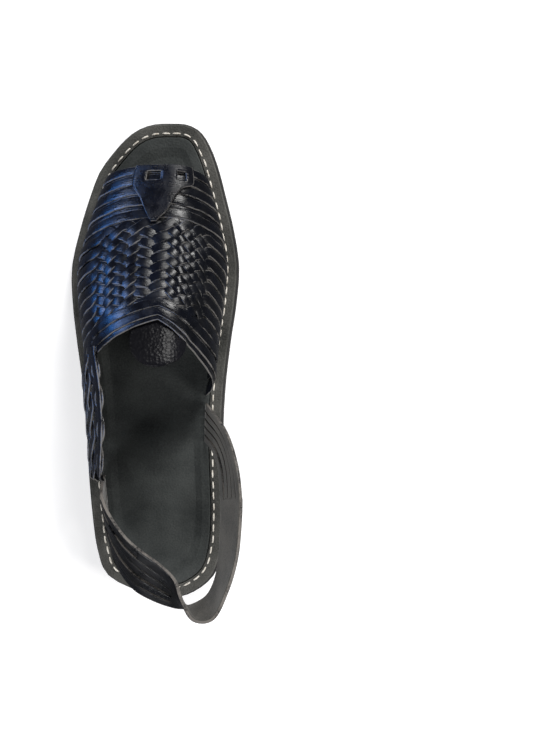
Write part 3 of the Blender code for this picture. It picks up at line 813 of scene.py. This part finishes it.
def add_long_strip(ribbons, nodes, width):
    """Strip along the band, which bulges out of the last and turns in at its rear end."""
    centres, normals, _ = weave_path(nodes, BAND_SAMPLES, 0.0)
    for k, normal in enumerate(normals):
        row, column, _ = catmull(nodes, k / BAND_SAMPLES)
        swell = (smooth((row - THROAT_ROW + BAND_OVERLAP_ROWS) / BAND_SWELL_ROWS)
                 * (1 - column / LATTICE_FROM) ** BAND_SWELL_POWER)
        centres[k] = centres[k] + Vector((normal.x, normal.y, 0)) * BAND_SWELL * swell
    centres.append(centres[-1] - normals[-1] * SINK + Vector((0, -SINK, -SINK)))
    normals.append(normals[-1])
    swell = random.uniform(1 - BAND_WIDTH_SPREAD, 1 + BAND_WIDTH_SPREAD)
    ribbons.add(centres, normals, [width * swell] * len(centres), random.uniform(0, 1))


def make_band(ribbons):
    """Plait behind the vamp: long strips that swap places, a strand at the edge and the foot."""
    start = THROAT_ROW - BAND_OVERLAP_ROWS
    for k in range(BAND_STRIPS):
        middle = (k + 0.5) * LATTICE_FROM / BAND_STRIPS
        for side in (1, -1):
            nodes = []
            for row in range(start, BAND_END + 1):
                phase = math.pi * (row - start) / PLAIT_ROWS + math.pi * k
                column = middle + side * PLAIT_SWAY * math.cos(phase)
                height = side * math.sin(phase) + PLAIT_HEIGHT
                nodes.append((row, min(max(column, PLAIT_MARGIN), LATTICE_FROM), height))
            add_long_strip(ribbons, nodes, BAND_STRIP_WIDTH)
    for column, height, width in BAND_STRANDS:
        nodes = [(row, column, height) for row in range(THROAT_ROW - 1, BAND_END + 1)]
        add_long_strip(ribbons, nodes, STRIP_WIDTH * width)


def add_tube(verts, faces, spots):
    """Flattened round thread through the spots, thinner at its ends."""
    first = len(verts)
    last = len(spots) - 1
    for r, spot in enumerate(spots):
        tangent = (spots[min(r + 1, last)] - spots[max(r - 1, 0)]).normalized()
        side = tangent.cross(Vector((0, 0, 1))).normalized()
        up = side.cross(tangent)
        swell = STITCH_SWELL_SHARE * math.sin(math.pi * r / last)
        radius = STITCH_RADIUS * (STITCH_END_SHARE + swell)
        for k in range(STITCH_SIDES):
            angle = 2 * math.pi * k / STITCH_SIDES
            across = side * math.cos(angle) * STITCH_FLATNESS
            verts.append(spot + (across + up * math.sin(angle)) * radius)
    for r in range(last):
        for k in range(STITCH_SIDES):
            a = first + r * STITCH_SIDES + k
            b = first + r * STITCH_SIDES + (k + 1) % STITCH_SIDES
            faces.append((a, b, b + STITCH_SIDES, a + STITCH_SIDES))
    faces.append(tuple(first + k for k in reversed(range(STITCH_SIDES))))
    faces.append(tuple(first + last * STITCH_SIDES + k for k in range(STITCH_SIDES)))


def make_stitches():
    """Short stitches sunk at both ends, all round the border."""
    loop = outline_loop(STITCH_INSET)
    closed = loop + [loop[0]]
    lengths = [0.0]
    for (ax, ay), (bx, by) in zip(closed, closed[1:]):
        lengths.append(lengths[-1] + math.hypot(bx - ax, by - ay))
    around = lengths[-1]
    xs, ys = [p[0] for p in closed], [p[1] for p in closed]
    number = round(around / STITCH_PITCH)
    verts, faces = [], []
    for n in range(number):
        start = n * around / number
        length = STITCH_LENGTH * random.uniform(*STITCH_LENGTH_SHARES)
        sway = random.uniform(-STITCH_SWAY, STITCH_SWAY)
        spots = []
        for r in range(STITCH_RINGS):
            t = r / (STITCH_RINGS - 1)
            along = (start + length * t) % around
            x = float(np.interp(along, lengths, xs))
            y = float(np.interp(along, lengths, ys))
            lift = STITCH_RADIUS * (STITCH_ARCH * math.sin(math.pi * t) ** 0.5 - STITCH_SINK)
            spots.append(Vector((x + sway, y, border(y) + lift)))
        add_tube(verts, faces, spots)
    return add_object("stitches", verts, faces, [THREAD_FINISH])


# Leather pieces made from a grid of points with a thickness

def sheet_mesh(name, surface, rows, columns, thickness, materials, holes=()):
    """Leather with rounded raw edges over a surface(r, c) that gives point and normal.

    Holes are cells of the grid; the middle of the thickness is on the surface.
    The first material is on the outer face and the edges, the last on the inner face."""
    spots = [[surface(r / rows, c / columns) for c in range(columns + 1)]
             for r in range(rows + 1)]
    verts, edge, uvs, faces, slots = [], [], [], [], []

    def present(i, j):
        return 0 <= i < rows and 0 <= j < columns and (i, j) not in holes

    def open_sides(i, j):
        """Pairs of corners at which a cell has no neighbour."""
        corners = ((i, j), (i, j + 1), (i + 1, j + 1), (i + 1, j))
        beyond = ((i - 1, j), (i, j + 1), (i + 1, j), (i, j - 1))
        return [(corners[k], corners[(k + 1) % 4])
                for k, cell in enumerate(beyond) if not present(*cell)]

    cells = [(i, j) for i in range(rows) for j in range(columns) if present(i, j)]
    rim = {corner for cell in cells for side in open_sides(*cell) for corner in side}
    index = {}

    def vert(i, j, layer):
        key = (i, j, layer)
        if key not in index:
            point, normal = spots[i][j]
            half = thickness / 2 * (RIM_SHARE if (i, j) in rim else 1)
            offset = {"outer": half, "inner": -half, "edge": 0.0}[layer]
            index[key] = len(verts)
            verts.append(point + normal * offset)
            edge.append(1.0 if (i, j) in rim else 0.0)
            uvs.append((j / columns * SHEET_TEXTURE, i / rows * SHEET_TEXTURE))
        return index[key]

    for i, j in cells:
        corners = ((i, j), (i, j + 1), (i + 1, j + 1), (i + 1, j))
        faces.append(tuple(vert(a, b, "outer") for a, b in corners))
        slots.append(0)
        faces.append(tuple(vert(a, b, "inner") for a, b in reversed(corners)))
        slots.append(len(materials) - 1)
        for a, b in open_sides(i, j):
            for low, high in (("outer", "edge"), ("edge", "inner")):
                faces.append((vert(*b, low), vert(*a, low), vert(*a, high), vert(*b, high)))
                slots.append(0)
    return add_object(name, verts, faces, materials, uvs, edge, slots)


def turn_at(x, y):
    """Turn round the last at which it has a given x near the crown."""
    crown = read_column(SECTIONS, 2, share(y)) * BALL_WIDTH
    foot = foot_x(y, x < crown)
    across = abs((x - crown) / (foot - crown)) ** (SECTION_POWER / 2)
    return 0.5 + (-1 if x < crown else 1) * math.asin(min(across, 1.0)) / math.pi


def make_tab():
    """Rounded tab with a pebbled face, under the throat and over the opening."""
    throat_y = row_place(THROAT_ROW, 0.5)

    def surface(r, c):
        t = 2 * r - 1
        s = 2 * c - 1
        # A square grid laid on a disc keeps the rim even.
        disc_t = t * math.sqrt(1 - s * s / 2)
        disc_s = s * math.sqrt(1 - t * t / 2)
        y = throat_y + TAB_ROOT - TAB_LENGTH * (1 + disc_t) / 2
        crown = read_column(SECTIONS, 2, share(y)) * BALL_WIDTH
        x = crown + TAB_WIDTH / 2 * disc_s
        w = turn_at(x, y)
        behind = throat_y - y
        lift = TAB_LIFT * smooth((behind - TAB_CLEAR) / (TAB_LENGTH - TAB_ROOT))
        point, normal = last_frame(y, w)
        return point + normal * (lift - (TAB_CLEAR + TAB_THICKNESS) / 2), normal

    return sheet_mesh("tab", surface, TAB_GRID, TAB_GRID, TAB_THICKNESS, [TAB_FINISH])


def make_toe_cover():
    """Smooth leather over the front strips: two windows and a tapering stem."""
    rows = len(TOE_PIECE) - 1
    keyed = [(k, *row) for k, row in enumerate(TOE_PIECE)]

    def surface(r, c):
        at = r * rows
        row, outer, inner = (read_column(keyed, k, at) for k in (1, 2, 3))
        w = outer + (inner - outer) * c
        point, normal = last_frame(row_place(row, w), w)
        return point + normal * TOE_PIECE_LIFT, normal

    front, rear = (round(TOE_GRID_ROWS / rows * at) for at in TOE_WINDOW_ROWS)
    holes = {(i, j) for i in range(front, rear) for low, high in TOE_WINDOW_COLUMNS
             for j in range(low, high)}
    return sheet_mesh("toe_cover", surface, TOE_GRID_ROWS, TOE_GRID_COLUMNS,
                      TOE_PIECE_THICKNESS, [STRIP_FINISH], holes)


def strap_spot(at, across):
    """Point on the strap's middle and the direction out of its outer face."""
    keyed = [(k, *row) for k, row in enumerate(STRAP_PATH)]

    def edges(row):
        """Lower and upper edge of the strap at a row of its path."""
        values = [read_column(keyed, c, row) for c in range(1, 7)]
        ends = []
        for x, along, z in (values[:3], values[3:]):
            y = place(along)
            seat = footbed(max(y, -HEEL_REST)) + STRAP_SEAT
            ends.append(Vector((x * BALL_WIDTH, y, seat + z * STRAP_HEIGHT)))
        return ends

    last = len(STRAP_PATH) - 1
    at = min(max(at, 0.0), last)
    low, high = edges(at)
    before, after = edges(max(at - STRAP_STEP, 0)), edges(min(at + STRAP_STEP, last))
    along = after[0].lerp(after[1], across) - before[0].lerp(before[1], across)
    normal = along.cross(high - low).normalized()
    return low.lerp(high, across), normal


def strap_sheet(name, rows, strip, thickness, grid, sway=0.0):
    """Leather along the strap between two rows and two shares of its width."""
    start, end = rows
    low, high = strip

    def surface(r, c):
        across = low + (high - low) * (1 - math.cos(math.pi * c)) / 2
        point, normal = strap_spot(start + (end - start) * r, across)
        return point + normal * sway * math.sin(math.pi * r), normal

    return sheet_mesh(name, surface, *grid, thickness, [STRAP_FINISH, SUEDE_FINISH])


def make_strap():
    """Heel strap: one wide band at the back, five thongs at each end."""
    last = len(STRAP_PATH) - 1
    inner_start = last - INNER_THONG_ROWS
    margin = (1 - THONG_SHARE) / 2
    low_edge, high_edge = margin / THONGS, 1 - margin / THONGS
    before, after = STRAP_TOP_ROWS
    made = [
        strap_sheet("heel_strap_back", (OUTER_THONG_ROWS, inner_start), (low_edge, high_edge),
                    STRAP_THICKNESS, STRAP_BACK_GRID),
        strap_sheet("heel_strap_upper", (OUTER_THONG_ROWS - before, OUTER_THONG_ROWS + after),
                    (STRAP_TOP_SHARE, high_edge), STRAP_THICKNESS * STRAP_TOP_THICKNESS_SHARE,
                    STRAP_TOP_GRID),
    ]
    ends = (("outer", (0, OUTER_THONG_ROWS + THONG_OVERLAP_ROWS), OUTER_THONG_GRID),
            ("inner", (inner_start - THONG_OVERLAP_ROWS, last), INNER_THONG_GRID))
    for k in range(THONGS):
        strip = (k + margin) / THONGS, (k + 1 - margin) / THONGS
        for side, rows, grid in ends:
            made.append(strap_sheet(f"heel_strap_{side}_{k + 1}", rows, strip,
                                    STRAP_THICKNESS * THONG_THICKNESS_SHARE, grid,
                                    random.uniform(-THONG_SWAY, THONG_SWAY)))
    return made


weave = make_weave()
make_band(weave)
strips = weave.build("woven_strips", STRIP_FINISH)
toe_cover = make_toe_cover()
tab = make_tab()
strap = make_strap()
stitches = make_stitches()

for piece, slot_name, node in ((strips, "strip_leather", "upper"),
                               (toe_cover, "strip_leather", "toe_piece"),
                               (tab, "tab_leather", "instep_tab")):
    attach(piece, "root")
    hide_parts(node)
for piece in strap:
    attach(piece, "root")
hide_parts("heel_strap")
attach(stitches, "root")

for node, finish in (("outsole", RUBBER_FINISH), ("midsole", BORDER_FINISH),
                     ("insole", FOOTBED_FINISH)):
    for k in range(len(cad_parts[node].material_slots)):
        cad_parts[node].material_slots[k].material = finish


# Floor, lights and camera

def make_floor():
    """Plain floor that glows a little, and that glossy leather doesn't mirror."""
    mesh = bpy.data.meshes.new("floor")
    corners = ((-1, -1), (1, -1), (1, 1), (-1, 1))
    mesh.from_pydata([(x * FLOOR_HALF, y * FLOOR_HALF, 0) for x, y in corners], [], [(0, 1, 2, 3)])
    material, _, _, shader = new_material("floor", FLOOR_COLOUR, FLOOR_ROUGHNESS)
    shader.inputs["Emission Color"].default_value = (1.0, 1.0, 1.0, 1)
    shader.inputs["Emission Strength"].default_value = FLOOR_GLOW
    mesh.materials.append(material)
    floor = bpy.data.objects.new("floor", mesh)
    bpy.context.scene.collection.objects.link(floor)
    floor.visible_glossy = False


def area_light(name, location, target, size, power, colour):
    data = bpy.data.lights.new(name, "AREA")
    data.shape = "RECTANGLE"
    data.size, data.size_y = size
    data.energy = power
    data.color = colour
    lamp = bpy.data.objects.new(name, data)
    lamp.location = location
    lamp.rotation_euler = (Vector(target) - lamp.location).to_track_quat("-Z", "Y").to_euler()
    bpy.context.scene.collection.objects.link(lamp)
    return lamp


def light_only(lamp, pieces):
    """Keep a lamp's light to some pieces."""
    receivers = bpy.data.collections.new("glossy_leather")
    for piece in pieces:
        receivers.objects.link(piece)
    lamp.light_linking.receiver_collection = receivers


def make_world():
    world = bpy.data.worlds.new("studio")
    world.use_nodes = True
    background = world.node_tree.nodes["Background"]
    background.inputs["Color"].default_value = (*WORLD_COLOUR, 1)
    background.inputs["Strength"].default_value = WORLD_STRENGTH
    bpy.context.scene.world = world
    bpy.context.scene.view_settings.view_transform = "Standard"


def make_camera():
    """Camera straight above the sandal, as in the photograph."""
    data = bpy.data.cameras.new("camera")
    data.lens = CAMERA_LENS
    camera = bpy.data.objects.new("camera", data)
    camera.location = CAMERA_PLACE
    bpy.context.scene.collection.objects.link(camera)
    bpy.context.scene.camera = camera


make_floor()
lamps = {row[0]: area_light(*row) for row in LIGHTS}
light_only(lamps["left_window"], (strips, toe_cover))
make_world()
make_camera()
